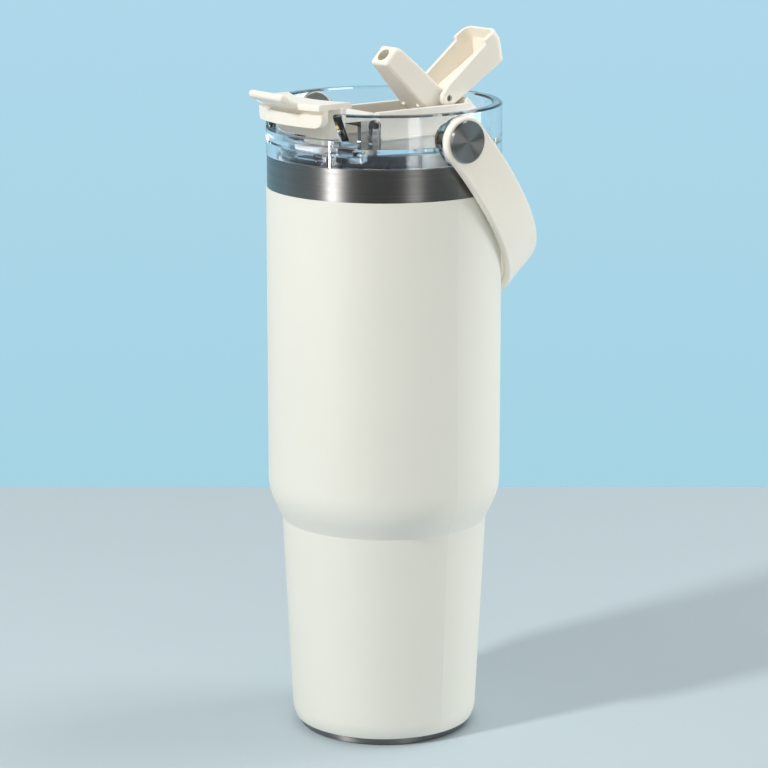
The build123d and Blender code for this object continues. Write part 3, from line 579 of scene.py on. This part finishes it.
class BOTTLE_OT_straw(bpy.types.Operator):
    """Finish the straw, its socket and its gasket"""

    bl_idname = "bottle.straw"
    bl_label = "Straw"

    def execute(self, context):
        look = context.scene.bottle_look
        set_material("straw", clear_finish(look, "clear_tube_finish", 0.08))
        set_material("straw_socket", plastic_finish(look, "socket_finish", 0.98))
        set_material("straw_gasket", silicone_finish(look, "gasket_finish", look.seal))
        return {"FINISHED"}


class BOTTLE_OT_sip_cover(bpy.types.Operator):
    """Finish the hinged cover over the sip hole"""

    bl_idname = "bottle.sip_cover"
    bl_label = "Sip cover"

    def execute(self, context):
        look = context.scene.bottle_look
        set_material("sip_cover", plastic_finish(look, "cover_finish", 1.0))
        set_material("sip_plug", silicone_finish(look, "sip_plug_finish", look.seal))
        set_material("sip_hinge_pin", plain_steel_finish(look, "hinge_pin_finish", 0.22, 1.0))
        return {"FINISHED"}


class BOTTLE_OT_spout(bpy.types.Operator):
    """Finish the folding nozzle, its hood and the cradle they turn in"""

    bl_idname = "bottle.spout"
    bl_label = "Spout"

    def execute(self, context):
        look = context.scene.bottle_look
        set_material("nozzle", plastic_finish(look, "nozzle_finish", 1.0))
        set_material("hood", plastic_finish(look, "hood_finish", 1.0))
        set_material("straw_cradle", plastic_finish(look, "cradle_finish", 0.99))
        set_material("hood_pin", plain_steel_finish(look, "hood_pin_finish", 0.22, 1.0))
        return {"FINISHED"}


class BOTTLE_OT_handle(bpy.types.Operator):
    """Finish the swing handle and the fastenings at its pivots"""

    bl_idname = "bottle.handle"
    bl_label = "Handle"

    def execute(self, context):
        look = context.scene.bottle_look
        set_material("handle", plastic_finish(look, "handle_finish", 1.0))
        set_material("handle_washers", plastic_finish(look, "washer_finish", 0.96))
        set_material("handle_screws", plain_steel_finish(look, "screw_finish", 0.3, 0.95))
        set_material("pivot_inserts", soft_metal_finish("brass_finish", look.brass, 0.32))
        return {"FINISHED"}


class BOTTLE_OT_caps(bpy.types.Operator):
    """Make the turned steel caps on both pivots"""

    bl_idname = "bottle.caps"
    bl_label = "Caps"

    def execute(self, context):
        sizes = context.scene.bottle_caps
        material = turned_finish(context.scene.bottle_look)
        centre = (low_cap + high_cap) / 2
        outline = [
            (0.0, -sizes.dish),
            (sizes.radius * CAP_DISH_RING, -sizes.dish / 2),
            (sizes.radius - sizes.chamfer * CAP_FLAT_EDGE, 0.0),
            (sizes.radius - sizes.chamfer, 0.0),
            (sizes.radius, -sizes.chamfer),
            (sizes.radius, -sizes.thickness),
            (0.0, -sizes.thickness),
        ]
        for name, side in (("handle_cap_right", 1), ("handle_cap_left", -1)):
            facing = Matrix.Rotation(side * math.pi / 2, 4, "Y")
            place = Matrix.Translation((side * sizes.face, centre.y, centre.z)) @ facing
            mesh = turned_disc(name, outline, sizes.segments)
            cap = add_piece(name, mesh, "handle", material, place, CAP_SHARP_ANGLE)
            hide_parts("handle_caps")
        return {"FINISHED"}


class BOTTLE_OT_stage(bpy.types.Operator):
    """Lay the floor, colour the backdrop and hang the lights"""

    bl_idname = "bottle.stage"
    bl_label = "Stage"

    def execute(self, context):
        look = context.scene.bottle_stage
        azimuth = context.scene.bottle_view.azimuth
        self.lay_floor(look, azimuth)
        self.colour_backdrop(context.scene, look, azimuth)
        self.hang_light(
            "key_light", look.key_power, look.key_size, look.key_turn, look.key_distance, look.key_height
        )
        side = self.hang_light(
            "side_light",
            look.side_power,
            look.side_size,
            look.side_turn,
            look.side_distance,
            look.side_height,
        )
        side.visible_glossy = False
        self.hang_strip("strip_light", look, look.key_turn, 1.0, look.strip_power)
        self.hang_strip(
            "bounce_card", look, azimuth + BOUNCE_TURN, BOUNCE_BREADTH, look.strip_power * BOUNCE_SHARE
        )
        self.hang_light(
            "top_light", look.top_power, look.top_size, look.top_turn, look.top_distance, look.top_height
        )
        return {"FINISHED"}

    def lay_floor(self, look, azimuth):
        """A plain floor whose far edge runs straight across the view."""
        mesh = bpy.data.meshes.new("floor")
        wide, deep = look.floor_width, look.floor_depth
        mesh.from_pydata(
            [(-wide, -deep, 0), (wide, -deep, 0), (wide, deep, 0), (-wide, deep, 0)], [], [(0, 1, 2, 3)]
        )
        floor = bpy.data.objects.new("floor", mesh)
        bpy.context.scene.collection.objects.link(floor)
        floor.rotation_euler.z = azimuth
        f = Finish("floor_finish")
        drift = f.between(f.noise(scale=3.0, detail=3.0), low=0.0, high=1.0)
        mesh.materials.append(
            f.surface(
                {
                    "Base Color": f.blend(drift, shade_of(look.floor, 0.97), shade_of(look.floor, 1.0)),
                    "Roughness": f.between(f.noise(scale=30.0, detail=3.0), low=0.55, high=0.62),
                    "Specular IOR Level": 0.25,
                }
            )
        )

    def colour_backdrop(self, scene, look, azimuth):
        """A pale sky behind the bottle, a dark room on the other side, and soft light on matt surfaces."""
        world = bpy.data.worlds.new("backdrop")
        scene.world = world
        world.use_nodes = True
        f = Finish.of_tree(world.node_tree)
        towards = f.node("ShaderNodeTexCoord", output="Generated")
        height = f.node("ShaderNodeSeparateXYZ", None, {0: towards}, "Z")
        rise = f.node(
            "ShaderNodeMapRange",
            {"clamp": True},
            {"Value": height, "From Min": SKY_LOW, "From Max": SKY_HIGH},
        )
        sky = f.blend(rise, tuple(look.backdrop_low) + (1.0,), tuple(look.backdrop_high) + (1.0,))
        front = (math.sin(azimuth), -math.cos(azimuth), 0.0)
        facing = f.node("ShaderNodeVectorMath", {"operation": "DOT_PRODUCT"}, {0: towards, 1: front}, "Value")
        nearness = f.node(
            "ShaderNodeMapRange",
            {"clamp": True},
            {"Value": facing, "From Min": ROOM_START, "From Max": ROOM_FULL},
        )
        mirrored = f.blend(nearness, sky, tuple(look.room) + (1.0,))
        camera_ray = f.node("ShaderNodeLightPath", output="Is Camera Ray")
        diffuse_ray = f.node("ShaderNodeLightPath", output="Is Diffuse Ray")
        passing_ray = f.node("ShaderNodeLightPath", output="Is Transmission Ray")
        through = f.blend(nearness, sky, tuple(look.glow) + (1.0,))
        shown = f.blend(camera_ray, f.blend(passing_ray, mirrored, through), sky)
        colour_of_light = f.blend(diffuse_ray, shown, tuple(look.ambient) + (1.0,))
        light = f.node("ShaderNodeBackground", None, {"Color": colour_of_light, "Strength": 1.0})
        f.node("ShaderNodeOutputWorld", None, {"Surface": light})

    def hang_strip(self, name, look, turn, breadth, power):
        """A tall narrow light that stands near the floor, breadth times the strip's usual width."""
        strip = self.hang_light(name, power, look.strip_width, turn, look.key_distance, look.strip_tall / 2)
        strip.data.shape = "RECTANGLE"
        strip.data.size = look.strip_width * breadth
        strip.data.size_y = look.strip_tall
        strip.visible_diffuse = False

    def hang_light(self, name, power, size, turn, distance, height):
        """A square soft light aimed at the bottle's middle."""
        light = bpy.data.lights.new(name, "AREA")
        light.shape = "SQUARE"
        light.size = size
        light.energy = power
        lamp = bpy.data.objects.new(name, light)
        bpy.context.scene.collection.objects.link(lamp)
        place = Vector((math.sin(turn) * distance, -math.cos(turn) * distance, height))
        aim = (Vector(cad_bounds[0]) + Vector(cad_bounds[1])) / 2
        lamp.location = place
        lamp.rotation_euler = (aim - place).to_track_quat("-Z", "Y").to_euler()
        return lamp


class BOTTLE_OT_camera(bpy.types.Operator):
    """Stand the camera in front of the bottle, a little above it"""

    bl_idname = "bottle.camera"
    bl_label = "Camera"

    def execute(self, context):
        where = context.scene.bottle_view
        lens = bpy.data.cameras.new("camera")
        lens.lens = where.lens
        lens.clip_start = NEAR_CLIP
        camera = bpy.data.objects.new("camera", lens)
        context.scene.collection.objects.link(camera)
        out = Vector((math.sin(where.azimuth), -math.cos(where.azimuth), 0.0))
        camera.location = out * where.distance + Vector((0.0, 0.0, where.height))
        look = -out * math.cos(where.pitch) - Vector((0.0, 0.0, math.sin(where.pitch)))
        camera.rotation_euler = look.to_track_quat("-Z", "Y").to_euler()
        context.scene.camera = camera
        context.scene.view_settings.view_transform = "Standard"
        return {"FINISHED"}


class BOTTLE_PT_panel(bpy.types.Panel):
    """Lists the bottle's sizes, colours and steps"""

    bl_idname = "BOTTLE_PT_panel"
    bl_label = "Insulated Bottle"
    bl_space_type = "VIEW_3D"
    bl_region_type = "UI"
    bl_category = "Bottle"

    def draw(self, context):
        for group in GROUPS:
            settings = getattr(context.scene, group)
            box = self.layout.box()
            for name in settings.bl_rna.properties.keys():
                if name not in ("rna_type", "name"):
                    box.prop(settings, name)
        for step in STEPS:
            self.layout.operator(step.bl_idname)


GROUPS = {
    "bottle_look": BottleLook,
    "bottle_caps": CapSizes,
    "bottle_stage": StageLook,
    "bottle_view": ViewPlace,
}
STEPS = (
    BOTTLE_OT_body,
    BOTTLE_OT_lid,
    BOTTLE_OT_straw,
    BOTTLE_OT_sip_cover,
    BOTTLE_OT_spout,
    BOTTLE_OT_handle,
    BOTTLE_OT_caps,
    BOTTLE_OT_stage,
    BOTTLE_OT_camera,
)


def register():
    for name, group in GROUPS.items():
        bpy.utils.register_class(group)
        setattr(bpy.types.Scene, name, PointerProperty(type=group))
    for step in STEPS:
        bpy.utils.register_class(step)
    bpy.utils.register_class(BOTTLE_PT_panel)


def unregister():
    bpy.utils.unregister_class(BOTTLE_PT_panel)
    for step in reversed(STEPS):
        bpy.utils.unregister_class(step)
    for name, group in reversed(GROUPS.items()):
        delattr(bpy.types.Scene, name)
        bpy.utils.unregister_class(group)


def main():
    register()
    for step in STEPS:
        family, action = step.bl_idname.split(".")
        getattr(getattr(bpy.ops, family), action)()


if __name__ == "__main__":
    main()
